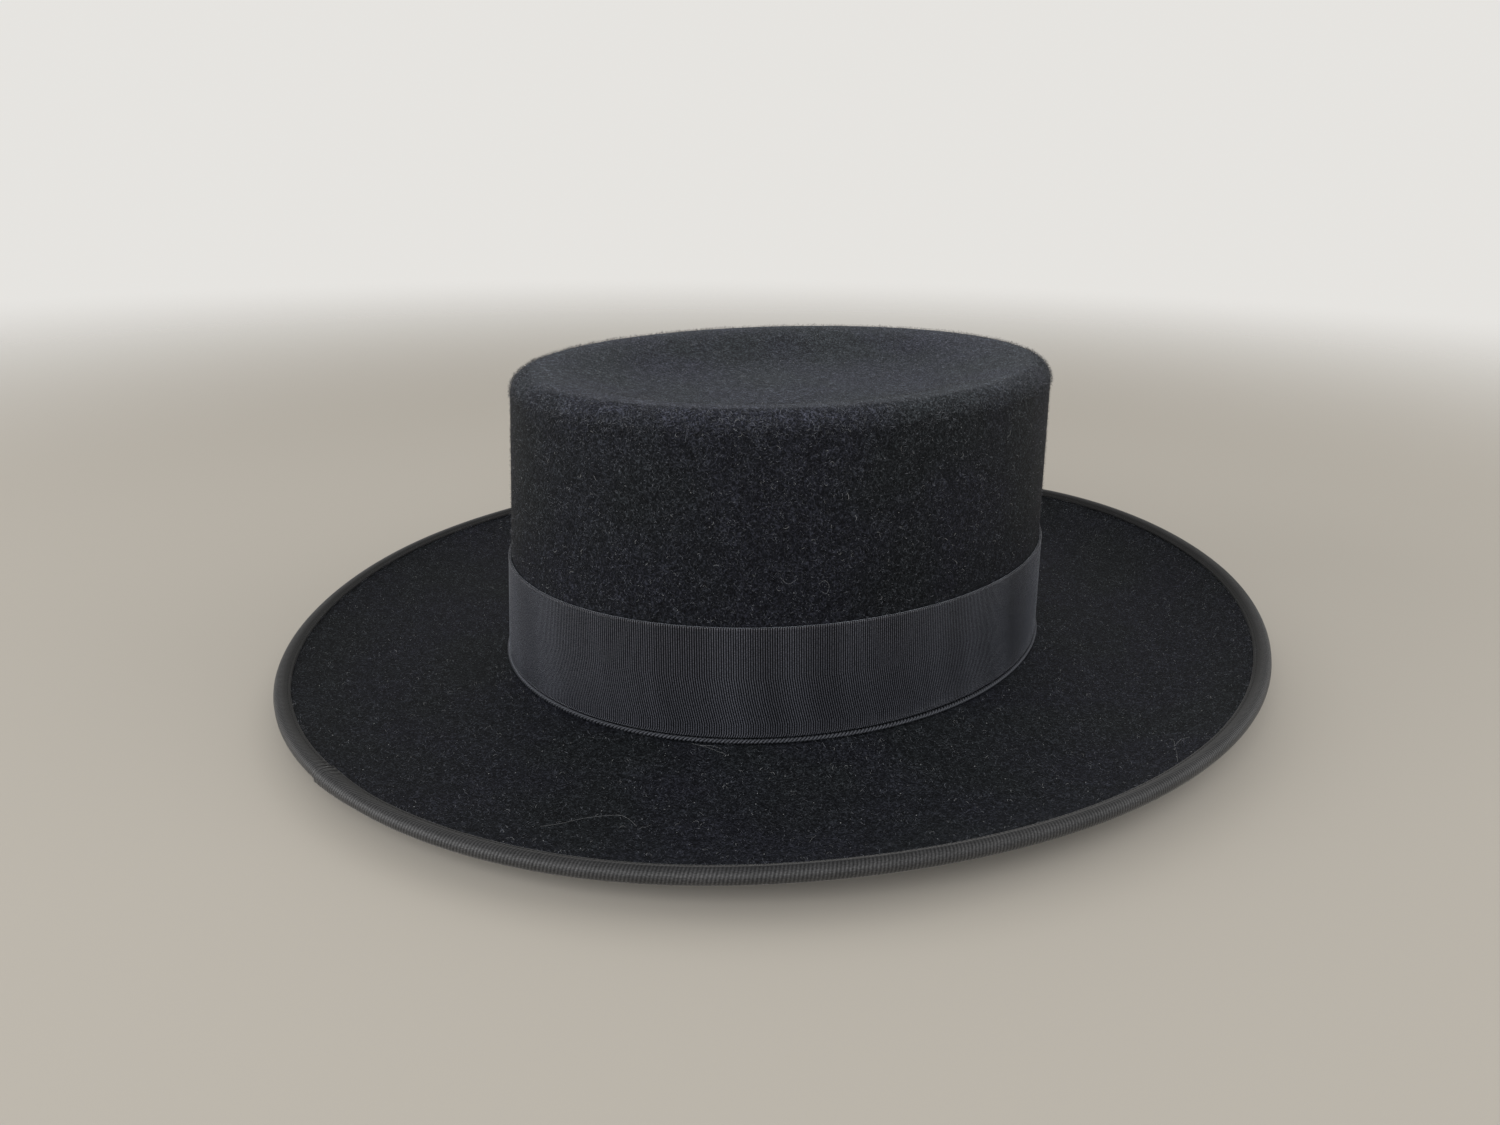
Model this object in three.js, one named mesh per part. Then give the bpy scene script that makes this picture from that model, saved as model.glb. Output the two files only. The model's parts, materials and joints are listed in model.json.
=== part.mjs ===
// A bolero hat of black felt, standing on its brim. Millimetres, +Z up.
// +X points to the wearer's front and +Y to the wearer's left. z = 0 is the surface that it stands on.
// Angles run round the hat from the front, 0, over the wearer's left, 90, to the back, 180.
import * as THREE from "three";

// The head's hollow, at the foot of the crown
const headLength = 197;
const headWidth = 165.8;
const frontNarrowing = 0.018; // share of the width that the oval loses in front and gains behind

// The crown
const crownHeight = 99; // from the surface to the top of the rim
const crownFelt = 2;
const leanEnds = 1.1; // how far the wall leans in by the rim, at the front and the back
const leanSides = 7.6; // the same at each side
const leanForward = 2.9; // how far the rim's oval sits in front of the foot's
const rimRadius = 6.4; // rounding between the wall and the tip
const dishDepth = 10; // how far the tip sinks below the rim
const dishBack = 8; // the deepest point lies this far behind the middle of the rim

// The brim
const brimFelt = 2.6;
const brimWidth = 76.3; // from the crown's wall to the outside of the binding, level
const brimRise = 10.1; // how far the felt's edge stands above the surface, on average
const restWidth = 8; // flat ring next to the crown, which the hat stands on
const brimCurl = 3; // power by which the brim turns up towards its edge
const breakRadius = 1.2; // fillet where the brim leaves the crown

// The ribbons and the cord
const clearance = 0.3; // gap that pieces keep to the felt and to each other
const bandHeight = 33.7;
const bandThickness = 0.8;
const cordDiameter = 1.5;
const bindingFace = 4.8; // width of the binding that shows on the brim's upper side
const bindingThickness = 0.6;
const lapThickness = 0.5; // what the binding's overlapping end adds
const lapLength = 20; // over which that end sinks into the rest
const lapAngle = 184;

// The tip's section, from the rim's crest to its deepest point: way in and depth, as shares
const dishSection = [
  { way: 0.08, depth: 0.04 },
  { way: 0.17, depth: 0.2 },
  { way: 0.28, depth: 0.47 },
  { way: 0.41, depth: 0.74 },
  { way: 0.58, depth: 0.93 },
  { way: 0.79, depth: 0.99 },
];

// The brim every 30 degrees from the front: shares of brimWidth and brimRise
const brimStations = [
  { width: 1.037, rise: 1.48 },
  { width: 1.021, rise: 1.12 },
  { width: 1.0, rise: 0.97 },
  { width: 0.983, rise: 0.88 },
  { width: 0.97, rise: 0.77 },
  { width: 0.966, rise: 0.56 },
  { width: 0.983, rise: 0.62 },
  { width: 1.0, rise: 0.84 },
  { width: 1.003, rise: 1.15 },
  { width: 1.008, rise: 1.17 },
  { width: 1.01, rise: 1.13 },
  { width: 1.021, rise: 1.4 },
];

// How finely each form is cut
const stepsAround = 60;
const stepsInRim = 4;
const stepsInBreak = 3;
const stepsInBrim = 6;
const stepsInEdge = 4;
const cordSides = 6;

// What follows from the sizes above
const footLength = headLength / 2 + crownFelt;
const footWidth = headWidth / 2 + crownFelt;
const shoulderHeight = crownHeight - rimRadius;
const halfBrimFelt = brimFelt / 2;
const foldRadius = breakRadius + Math.min(crownFelt, brimFelt);
const edgeCover = halfBrimFelt + clearance + bindingThickness;
const cordRadius = cordDiameter / 2;
const spareInBreak = breakRadius - cordRadius - clearance;
const cordSeat = Math.max(cordRadius + clearance, breakRadius - spareInBreak * Math.SQRT1_2);
const bandFoot = brimFelt + cordSeat + cordRadius + clearance;
const bandTop = bandFoot + bandHeight;

// The stations round the hat, with two close together where the binding's end steps up
const stations = Array.from({ length: stepsAround }, (_, step) => (360 * step) / stepsAround);
stations.push(lapAngle - 0.2, lapAngle);
stations.sort((first, second) => first - second);

const brimCurve = new THREE.CatmullRomCurve3(
  brimStations.map((row) => new THREE.Vector3(row.width * brimWidth, row.rise * brimRise, 0)),
  true,
  "catmullrom",
);

// The point and the outward direction of a level oval through the crown
function oval(angle, halfLength, halfWidth, forward) {
  const turn = THREE.MathUtils.degToRad(angle);
  const cos = Math.cos(turn);
  const sin = Math.sin(turn);
  const narrowing = 1 - frontNarrowing * cos;
  const point = new THREE.Vector2(forward + halfLength * cos, halfWidth * sin * narrowing);
  const along = halfWidth * (cos * narrowing + frontNarrowing * sin * sin);
  const outward = new THREE.Vector2(along, halfLength * sin).normalize();
  return { point, outward };
}

// A point at a height on the crown's wall, moved outwards from the felt's outer face
function onWall(angle, height, out) {
  const climb = (height - brimFelt) / (shoulderHeight - brimFelt);
  const { point, outward } = oval(
    angle,
    footLength - leanEnds * climb,
    footWidth - leanSides * climb,
    leanForward * climb,
  );
  point.addScaledVector(outward, out);
  return new THREE.Vector3(point.x, point.y, height);
}

// A point on the rounded rim, whose turn goes from 0 at the wall to 90 at the crest
function onRim(angle, turn, depth) {
  const radius = rimRadius - depth;
  const lift = THREE.MathUtils.degToRad(turn);
  const inset = radius * Math.cos(lift) - rimRadius;
  const point = onWall(angle, shoulderHeight, inset);
  point.z += radius * Math.sin(lift);
  return point;
}

const dishCentre = new THREE.Vector3(leanForward - dishBack, 0, crownHeight - dishDepth);

// A point of the dished tip, at a share of the way from the rim's crest to the deepest point
function onDish(angle, row, below) {
  const point = onRim(angle, 90, 0).lerp(dishCentre, row.way);
  point.z = crownHeight - dishDepth * row.depth - below;
  return point;
}

// A point near the brim's middle surface: how far out from the crown's foot, and how far off that surface
function onBrim(angle, reach, off) {
  const { x: width, y: rise } = brimCurve.getPoint(angle / 360);
  const span = width - edgeCover - restWidth;
  const share = Math.max(reach - restWidth, 0) / span;
  const slope = Math.atan((brimCurl * rise * share ** (brimCurl - 1)) / span);
  const { point, outward } = oval(angle, footLength, footWidth, 0);
  point.addScaledVector(outward, reach - off * Math.sin(slope));
  const height = halfBrimFelt + rise * share ** brimCurl + off * Math.cos(slope);
  return new THREE.Vector3(point.x, point.y, height);
}

// The reach at which the brim's rounded edge starts, and where the binding starts
const edgeReach = (angle) => brimCurve.getPoint(angle / 360).x - edgeCover;
const bindingReach = (angle) => edgeReach(angle) + edgeCover - bindingFace;

// A point round the brim's edge, whose turn goes from 90 on the upper side to -90 below
function onEdge(angle, turn, off) {
  const reach = edgeReach(angle);
  const above = onBrim(angle, reach, off);
  const below = onBrim(angle, reach, -off);
  const middle = above.clone().add(below).divideScalar(2);
  const lift = above.sub(middle);
  const outward = oval(angle, footLength, footWidth, 0).outward;
  const out = new THREE.Vector3(outward.x, outward.y, 0).cross(lift).cross(lift).negate().setLength(off);
  const swing = THREE.MathUtils.degToRad(turn);
  return middle.addScaledVector(lift, Math.sin(swing)).addScaledVector(out, Math.cos(swing));
}

const ring = (pointAt) => stations.map((angle) => pointAt(angle));

// One closed skin through rings that run over the top, outwards, down and back underneath.
// Two tips close its ends, or the last ring joins the first.
function skin(rings, tips = []) {
  const around = stations.length;
  const points = rings.flat().concat(tips);
  const faces = [];
  const pairs = tips.length ? rings.length - 1 : rings.length;
  for (let row = 0; row < pairs; row += 1) {
    const here = row * around;
    const next = ((row + 1) % rings.length) * around;
    for (let step = 0; step < around; step += 1) {
      const beside = (step + 1) % around;
      faces.push(here + step, next + step, next + beside);
      faces.push(here + step, next + beside, here + beside);
    }
  }
  if (tips.length) {
    const last = (rings.length - 1) * around;
    const upperTip = rings.length * around;
    for (let step = 0; step < around; step += 1) {
      const beside = (step + 1) % around;
      faces.push(upperTip, step, beside);
      faces.push(upperTip + 1, last + beside, last + step);
    }
  }
  const geometry = new THREE.BufferGeometry().setFromPoints(points);
  geometry.setIndex(faces);
  geometry.computeVertexNormals();
  return geometry;
}

function piece(name, geometry, color, roughness) {
  const material = new THREE.MeshStandardMaterial({ color, roughness, metalness: 0 });
  const mesh = new THREE.Mesh(geometry, material);
  mesh.name = name;
  return mesh;
}

const shares = (count) => Array.from({ length: count + 1 }, (_, step) => step / count);

// The felt is one blocked hood: tip, wall and brim are one skin with an outer and an inner side.
function feltBody() {
  const rings = [];
  for (const row of [...dishSection].reverse()) {
    rings.push(ring((angle) => onDish(angle, row, 0)));
  }
  for (const share of shares(stepsInRim)) {
    rings.push(ring((angle) => onRim(angle, 90 - 90 * share, 0)));
  }
  rings.push(ring((angle) => onWall(angle, bandTop, 0)));
  for (const share of shares(stepsInBreak)) {
    const turn = (share * Math.PI) / 2;
    const out = breakRadius * (1 - Math.cos(turn));
    rings.push(ring((angle) => onWall(angle, brimFelt + breakRadius * (1 - Math.sin(turn)), out)));
  }
  const outwards = shares(stepsInBrim).map((share) => (angle) => (
    restWidth + (bindingReach(angle) - restWidth) * share
  ));
  outwards.push((angle) => (bindingReach(angle) + edgeReach(angle)) / 2);
  for (const reachAt of outwards) {
    rings.push(ring((angle) => onBrim(angle, reachAt(angle), halfBrimFelt)));
  }
  for (const share of shares(stepsInEdge)) {
    rings.push(ring((angle) => onEdge(angle, 90 - 180 * share, halfBrimFelt)));
  }
  for (const reachAt of outwards.reverse()) {
    rings.push(ring((angle) => onBrim(angle, reachAt(angle), -halfBrimFelt)));
  }
  for (const share of shares(stepsInBreak)) {
    const turn = (share * Math.PI) / 2;
    const out = foldRadius * (1 - Math.sin(turn)) - crownFelt;
    rings.push(ring((angle) => onWall(angle, foldRadius * (1 - Math.cos(turn)), out)));
  }
  for (const share of shares(stepsInRim)) {
    rings.push(ring((angle) => onRim(angle, 90 * share, crownFelt)));
  }
  for (const row of dishSection) {
    rings.push(ring((angle) => onDish(angle, row, crownFelt)));
  }
  const innerTip = dishCentre.clone().setZ(dishCentre.z - crownFelt);
  return piece("felt_body", skin(rings, [dishCentre, innerTip]), 0x15171b, 0.95);
}

// The ribbon stands against the wall all round, above the cord.
function hatBand() {
  const section = [
    [bandTop, clearance],
    [bandTop, clearance + bandThickness],
    [bandFoot, clearance + bandThickness],
    [bandFoot, clearance],
  ];
  const rings = section.map(([height, out]) => ring((angle) => onWall(angle, height, out)));
  return piece("hat_band", skin(rings), 0x26282c, 0.7);
}

// The cord lies in the corner between the brim and the wall.
function bandCord() {
  const rings = shares(cordSides).slice(1).map((share) => {
    const turn = share * 2 * Math.PI;
    const height = brimFelt + cordSeat + cordRadius * Math.cos(turn);
    return ring((angle) => onWall(angle, height, cordSeat + cordRadius * Math.sin(turn)));
  });
  return piece("band_cord", skin(rings), 0x2b2c2f, 0.75);
}

// The binding's outer face stands up by this much just past the lap, and sinks back further on.
function lapStep(angle) {
  const past = THREE.MathUtils.degToRad(angle - lapAngle) * (footLength + brimWidth);
  return past < 0 || past > lapLength ? 0 : lapThickness * (1 - past / lapLength);
}

// The binding is a ribbon folded over the brim's edge.
function brimBinding() {
  const inner = halfBrimFelt + clearance;
  const outer = (angle) => inner + bindingThickness + lapStep(angle);
  const turns = shares(stepsInEdge).map((share) => 90 - 180 * share);
  const rings = [
    ring((angle) => onBrim(angle, bindingReach(angle), outer(angle))),
    ...turns.map((turn) => ring((angle) => onEdge(angle, turn, outer(angle)))),
    ring((angle) => onBrim(angle, bindingReach(angle), -outer(angle))),
    ring((angle) => onBrim(angle, bindingReach(angle), -inner)),
    ...turns.reverse().map((turn) => ring((angle) => onEdge(angle, turn, inner))),
    ring((angle) => onBrim(angle, bindingReach(angle), inner)),
  ];
  return piece("brim_binding", skin(rings), 0x333437, 0.7);
}

const hat = new THREE.Group();
hat.add(feltBody(), hatBand(), bandCord(), brimBinding());

// The origin lies under the middle of the whole hat.
const middle = new THREE.Box3().setFromObject(hat).getCenter(new THREE.Vector3());
hat.position.set(-middle.x, -middle.y, 0);

export default hat;
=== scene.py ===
# %% [markdown]
# # A bolero hat in black felt
#
# This file dresses one hat, piece by piece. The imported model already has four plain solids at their
# real size and place: the felt body, the ribbon round the crown, the cord under that ribbon and the
# binding on the brim's edge. Blender never moves them. Each one is replaced by a finer piece that has
# the same form, and small things such as the nap are laid over them.
#
# The first cell loads the solids as a fixed frame and keeps their box, because everything that is
# made later has to stay close to it.

# %% Load the frame
import json
import math

import bpy
import numpy as np
from mathutils import Matrix, Vector

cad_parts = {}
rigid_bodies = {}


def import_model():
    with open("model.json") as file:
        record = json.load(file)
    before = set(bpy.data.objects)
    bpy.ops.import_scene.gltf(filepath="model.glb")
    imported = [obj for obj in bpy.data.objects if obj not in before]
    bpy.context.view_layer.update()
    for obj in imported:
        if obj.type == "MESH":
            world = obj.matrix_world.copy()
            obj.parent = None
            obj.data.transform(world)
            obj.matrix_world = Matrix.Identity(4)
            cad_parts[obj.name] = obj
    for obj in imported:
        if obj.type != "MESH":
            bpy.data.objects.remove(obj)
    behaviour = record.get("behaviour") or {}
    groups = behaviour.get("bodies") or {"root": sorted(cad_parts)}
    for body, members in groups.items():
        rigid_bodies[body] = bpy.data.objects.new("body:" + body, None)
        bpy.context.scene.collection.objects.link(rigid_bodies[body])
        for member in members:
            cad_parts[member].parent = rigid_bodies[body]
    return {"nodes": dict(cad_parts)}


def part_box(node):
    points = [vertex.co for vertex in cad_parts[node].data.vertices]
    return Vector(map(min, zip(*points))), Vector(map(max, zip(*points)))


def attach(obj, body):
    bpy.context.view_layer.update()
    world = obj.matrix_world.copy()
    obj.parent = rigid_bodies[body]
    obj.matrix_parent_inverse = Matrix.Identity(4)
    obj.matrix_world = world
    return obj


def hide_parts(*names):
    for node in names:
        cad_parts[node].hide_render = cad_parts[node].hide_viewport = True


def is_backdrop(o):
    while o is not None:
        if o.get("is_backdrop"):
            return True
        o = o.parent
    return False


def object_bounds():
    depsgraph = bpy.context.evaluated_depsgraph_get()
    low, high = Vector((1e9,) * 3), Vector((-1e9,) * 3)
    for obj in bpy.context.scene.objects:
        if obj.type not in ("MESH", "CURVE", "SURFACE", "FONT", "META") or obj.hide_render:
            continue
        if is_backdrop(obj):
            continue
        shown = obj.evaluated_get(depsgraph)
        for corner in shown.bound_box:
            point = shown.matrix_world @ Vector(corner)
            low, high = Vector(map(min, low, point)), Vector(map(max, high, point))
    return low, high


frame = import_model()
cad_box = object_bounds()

print("solids in the frame:", sorted(frame["nodes"]))
print("box of the solids in mm:", [[round(1000 * x, 1) for x in corner] for corner in cad_box])

# %% [markdown]
# ## The sizes of the hat
#
# Every size is a real one, in metres, so MM turns millimetres into Blender's unit. They are the same
# driving sizes that the solids were made from. The directions are +X to the wearer's front, +Y to the
# wearer's left and +Z up, and an angle runs round the hat from the front over the wearer's left.

# %% Sizes of the felt
MM = 0.001

half_length = 100.5 * MM
half_width = 84.9 * MM
front_narrowing = 0.018
crown_height = 99 * MM
crown_felt = 2 * MM
lean_ends = 1.1 * MM
lean_sides = 7.6 * MM
lean_forward = 2.9 * MM
rim_radius = 6.4 * MM
dish_depth = 10 * MM
dish_back = 8 * MM
shoulder_height = crown_height - rim_radius

brim_felt = 2.6 * MM
brim_width = 76.3 * MM
brim_rise = 10.1 * MM
rest_width = 8 * MM
brim_curl = 3
break_radius = 1.2 * MM

# The tip's section from the rim's crest to its deepest point: way in and depth, as shares
dish_ways = np.array([0, 0.08, 0.17, 0.28, 0.41, 0.58, 0.79, 1])
dish_depths = np.array([0, 0.04, 0.2, 0.47, 0.74, 0.93, 0.99, 1])

# The brim every 30 degrees from the front: shares of brim_width and brim_rise
brim_widths = np.array([1.037, 1.021, 1, 0.983, 0.97, 0.966, 0.983, 1, 1.003, 1.008, 1.01, 1.021])
brim_rises = np.array([1.48, 1.12, 0.97, 0.88, 0.77, 0.56, 0.62, 0.84, 1.15, 1.17, 1.13, 1.4])

print("crown foot in mm:", 2000 * half_length, "by", 2000 * half_width)

# %% Sizes of the ribbons and the cord
clearance = 0.3 * MM
band_height = 33.7 * MM
band_thickness = 0.8 * MM
cord_diameter = 1.5 * MM
binding_face = 4.8 * MM
binding_thickness = 0.6 * MM
lap_thickness = 0.5 * MM
lap_length = 20 * MM
lap_angle = 186.3

cord_radius = cord_diameter / 2
spare_in_break = break_radius - cord_radius - clearance
cord_seat = max(cord_radius + clearance, break_radius - spare_in_break * math.sqrt(0.5))
band_foot = brim_felt + cord_seat + cord_radius + clearance
band_top = band_foot + band_height
edge_cover = brim_felt / 2 + clearance + binding_thickness

print("the ribbon runs from", round(band_foot / MM, 2), "to", round(band_top / MM, 2), "mm")

# %% [markdown]
# The frame's origin lies under the middle of the whole brim, but the crown's oval is drawn round its
# own middle. The cord follows that oval closely, so the middle of its box says where the oval sits.

# %% Find the crown's middle
cord_low, cord_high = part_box("band_cord")
cord_climb = cord_seat / (shoulder_height - brim_felt)
crown_middle = (cord_low + cord_high) / 2
crown_middle.x -= lean_forward * cord_climb
crown_middle.z = 0

print("middle of the crown's foot in mm:", [round(x / MM, 3) for x in crown_middle])

# %% [markdown]
# ## Formulas for the form
#
# A hat is blocked over wood, so its form follows rules: a level oval, a wall that leans in, a rounded
# rim, a dished tip and a brim that curls up more and more towards its edge. Each rule is a short
# function of the angle. It takes whole arrays of angles at once, which keeps the making fast.

# %% The oval and the wall
def oval(angle, length, width, forward):
    """Points and outward directions of a level oval, for an array of angles in degrees."""
    turn = np.radians(angle)
    cos = np.cos(turn)
    sin = np.sin(turn)
    narrowing = 1 - front_narrowing * cos
    point = np.stack([forward + length * cos, width * sin * narrowing], -1)
    along = width * (cos * narrowing + front_narrowing * sin * sin)
    outward = np.stack([along, length * sin], -1)
    return point, outward / np.linalg.norm(outward, axis=-1, keepdims=True)


def raised(point, height):
    """Level points of the oval as points of the frame, at a height."""
    height = np.broadcast_to(height, point.shape[:-1])
    place = np.concatenate([point, height[..., None]], -1)
    return place + np.array(crown_middle)


def on_wall(angle, height, out):
    """Points at a height on the crown's wall, moved outwards from the felt's outer face."""
    height, out, angle = np.broadcast_arrays(height, out, angle)
    climb = (height - brim_felt) / (shoulder_height - brim_felt)
    point, outward = oval(
        angle,
        half_length - lean_ends * climb,
        half_width - lean_sides * climb,
        lean_forward * climb,
    )
    return raised(point + outward * out[..., None], height)


# %% The rim and the tip
def on_rim(angle, turn, depth):
    """Points on the rounded rim, whose turn goes from 0 at the wall to 90 at the crest."""
    radius = rim_radius - depth
    inset = radius * math.cos(math.radians(turn)) - rim_radius
    place = on_wall(angle, shoulder_height, inset)
    place[..., 2] += radius * math.sin(math.radians(turn))
    return place


def through(ways, values, way):
    """A smooth curve through a table's rows, level at both ends."""
    slopes = np.gradient(values, ways)
    slopes[0] = slopes[-1] = 0
    row = min(int(np.searchsorted(ways, way, side="right")) - 1, len(ways) - 2)
    span = ways[row + 1] - ways[row]
    t = (way - ways[row]) / span
    rise = values[row + 1] - values[row]
    start = slopes[row] * span
    end = slopes[row + 1] * span
    return values[row] + t * start + t * t * (3 * rise - 2 * start - end) + t**3 * (start + end - 2 * rise)


dish_centre = np.array([lean_forward - dish_back, 0, crown_height - dish_depth]) + np.array(crown_middle)


def on_dish(angle, way, below):
    """Points of the dished tip, at a share of the way from the rim's crest to the deepest point."""
    place = on_rim(angle, 90, 0) * (1 - way) + dish_centre * way
    place[..., 2] = crown_height - dish_depth * through(dish_ways, dish_depths, way) - below
    return place


# %% The brim and its edge
def around(stations, angle):
    """A smooth closed curve through values that are given every 30 degrees."""
    place = np.asarray(angle) % 360 / 30
    row = np.floor(place).astype(int)
    t = place - row
    before, here, after, later = (stations[(row + k) % 12] for k in (-1, 0, 1, 2))
    bend = 2 * before - 5 * here + 4 * after - later
    turn = 3 * (here - after) + later - before
    return here + 0.5 * t * (after - before + t * (bend + t * turn))


def on_brim(angle, reach, off):
    """Points near the brim's middle surface: how far out from the crown, how far off the surface."""
    angle, reach, off = np.broadcast_arrays(angle, reach, off)
    rise = around(brim_rises, angle) * brim_rise
    span = around(brim_widths, angle) * brim_width - edge_cover - rest_width
    share = np.maximum(reach - rest_width, 0) / span
    slope = np.arctan(brim_curl * rise * share ** (brim_curl - 1) / span)
    point, outward = oval(angle, half_length, half_width, 0)
    point = point + outward * (reach - off * np.sin(slope))[..., None]
    return raised(point, brim_felt / 2 + rise * share**brim_curl + off * np.cos(slope))


def edge_reach(angle):
    """The reach at which the brim's rounded edge starts."""
    return around(brim_widths, angle) * brim_width - edge_cover


def on_edge(angle, turn, off):
    """Points round the brim's edge, whose turn goes from 90 on the upper side to -90 below."""
    angle, turn, off = np.broadcast_arrays(angle, turn, off)
    above = on_brim(angle, edge_reach(angle), off)
    below = on_brim(angle, edge_reach(angle), -off)
    middle = (above + below) / 2
    lift = above - middle
    outward = oval(angle, half_length, half_width, 0)[1]
    out = np.concatenate([outward, np.zeros(outward.shape[:-1] + (1,))], -1)
    out = np.cross(lift, np.cross(out, lift))
    out *= np.abs(off)[..., None] / np.linalg.norm(out, axis=-1, keepdims=True)
    swing = np.radians(turn)[..., None]
    return middle + lift * np.sin(swing) + out * np.cos(swing)


# %% [markdown]
# ## From points to a mesh
#
# A form that goes round the hat is a stack of rings, one below the other. Two rings that are next to
# each other are joined by one row of four-sided faces. The same function serves the felt, the ribbon
# and the binding. It also writes a UV map that counts in millimetres along the ring and across it, so
# that a weave can follow the cloth wherever it bends.

# %% A skin through rings
def skin(name, rings, closed=False, tips=(), uv=None):
    """A mesh through rings that run over the top, outwards, down and back underneath."""
    grid = np.array(rings)
    rows, columns = grid.shape[:2]
    points = grid.reshape(-1, 3)
    number = np.arange(rows * columns).reshape(rows, columns)
    beside = np.roll(number, -1, 1)
    last = rows if closed else rows - 1
    here = number[:last]
    below = np.roll(number, -1, 0)[:last]
    quads = np.stack([here, below, np.roll(below, -1, 1), beside[:last]], -1).reshape(-1, 4)
    faces = quads.tolist()
    if len(tips):
        upper = len(points)
        points = np.concatenate([points, np.array(tips)])
        faces += [[upper, a, b] for a, b in zip(number[0], beside[0])]
        faces += [[upper + 1, b, a] for a, b in zip(number[-1], beside[-1])]
    mesh = bpy.data.meshes.new(name)
    mesh.from_pydata(points.tolist(), [], faces)
    mesh.polygons.foreach_set("use_smooth", np.ones(len(faces), bool))
    if uv is not None:
        write_uv(mesh, uv, here, below, columns)
    mesh.update()
    made = bpy.data.objects.new(name, mesh)
    bpy.context.scene.collection.objects.link(made)
    return made


def write_uv(mesh, uv, here, below, columns):
    """A UV map in millimetres: uv is the place along each ring, with one more for the seam, and across."""
    along, across = uv
    column = np.arange(columns)
    corners = np.empty(here.shape + (4, 2))
    for corner, (shift, row) in enumerate(((0, 0), (0, 1), (1, 1), (1, 0))):
        corners[..., corner, 0] = along[column + shift]
        corners[..., corner, 1] = across[np.arange(here.shape[0]) + row][:, None]
    layer = mesh.uv_layers.new(name="cloth")
    layer.data.foreach_set("uv", (corners / MM).ravel())


def triangles(piece):
    """How many triangles a piece has."""
    return sum(len(face.vertices) - 2 for face in piece.data.polygons)


# %% [markdown]
# ## Materials: one helper for nodes and one for colour
#
# A material in Blender is a small graph. One function adds a node, sets it and links it, so that a
# material below reads as a list of what it is made of. Colours are written as the hex values that a
# painter would pick on screen, and one function turns them into the linear light that a shader needs.

# %% Helpers for materials
def colour(code):
    """A hex colour as linear red, green, blue and alpha."""
    parts = [int(code[i : i + 2], 16) / 255 for i in (1, 3, 5)]
    return [x / 12.92 if x <= 0.04045 else ((x + 0.055) / 1.055) ** 2.4 for x in parts] + [1]


def add(tree, kind, settings=(), inputs=()):
    """Adds a node with its settings. An input is a value, or another node's output to link."""
    made = tree.nodes.new(kind)
    for name, value in dict(settings).items():
        setattr(made, name, value)
    for name, value in dict(inputs).items():
        if isinstance(value, bpy.types.NodeSocket):
            tree.links.new(value, made.inputs[name])
        else:
            made.inputs[name].default_value = value
    return made


def material(name):
    """An empty material with its output, and the tree to fill."""
    made = bpy.data.materials.new(name)
    made.use_nodes = True
    made.node_tree.nodes.clear()
    return made, made.node_tree


def finish_material(tree, shader):
    """Links a shader to the material's output."""
    add(tree, "ShaderNodeOutputMaterial", inputs={"Surface": shader.outputs[0]})


# %% [markdown]
# ### Black fur felt
#
# Fur felt is dyed black all through, wetted, blocked and then sanded, which leaves a short nap. The
# base hardly reflects anything. What the eye sees is the nap catching light: very little of it when
# looked at straight on, and a soft grey haze when looked along. That is what Sheen does. Right at the
# outline the fibres stand in front of one another, so the haze fades again there, and a ramp over the
# facing angle gives it that shape. Felt that lies high and faces upwards gets the most haze, and there
# its base colour is also painted paler: a painted highlight on the tip and over the rim. The dye is
# never quite even, so broad patches lean towards blue or green by a trace. The mat of fibres is a
# ridged noise, because its thin bright lines look like hairs.

# %% Felt material
felt_blue = colour("#16171c")
felt_green = colour("#151719")
felt_fibre = 1.4 * MM
felt_grain = 0.6 * MM
felt_tuft = 3 * MM
felt_patch = 40 * MM
grain_height = 0.3 * MM
grain_relief = 0.6
haze_contrast = 0.7
haze_by_angle = [(0.02, 0.08), (0.35, 0.17), (0.7, 0.22), (0.92, 0.11), (1, 0.05)]
# How much of the haze and the painted highlight the brim and the wall keep, and how much paler the painted
# highlight makes the tip
haze_and_painted_light_on_brim = 0.1
haze_and_painted_light_on_wall = 0.1
painted_light_on_tip = 2

felt, tree = material("black_fur_felt")
coordinates = add(tree, "ShaderNodeTexCoord")
place = coordinates.outputs["Object"]
mat = add(
    tree,
    "ShaderNodeTexNoise",
    {"noise_type": "RIDGED_MULTIFRACTAL"},
    {"Vector": place, "Scale": 1 / felt_fibre, "Detail": 0, "Offset": 1, "Distortion": 0.8},
)
grain = add(
    tree,
    "ShaderNodeTexNoise",
    inputs={"Vector": place, "Scale": 1 / felt_grain, "Detail": 2, "Roughness": 0.8},
)
tufts = add(tree, "ShaderNodeTexNoise", inputs={"Vector": place, "Scale": 1 / felt_tuft, "Detail": 2})
patches = add(tree, "ShaderNodeTexNoise", inputs={"Vector": place, "Scale": 1 / felt_patch, "Detail": 2})
leaning = add(
    tree,
    "ShaderNodeMapRange",
    inputs={"Value": patches.outputs["Fac"], "From Min": 0.4, "From Max": 0.6},
)
tone = add(
    tree,
    "ShaderNodeMix",
    {"data_type": "RGBA"},
    {"Factor": leaning.outputs["Result"], 6: felt_green, 7: felt_blue},
)

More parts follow.
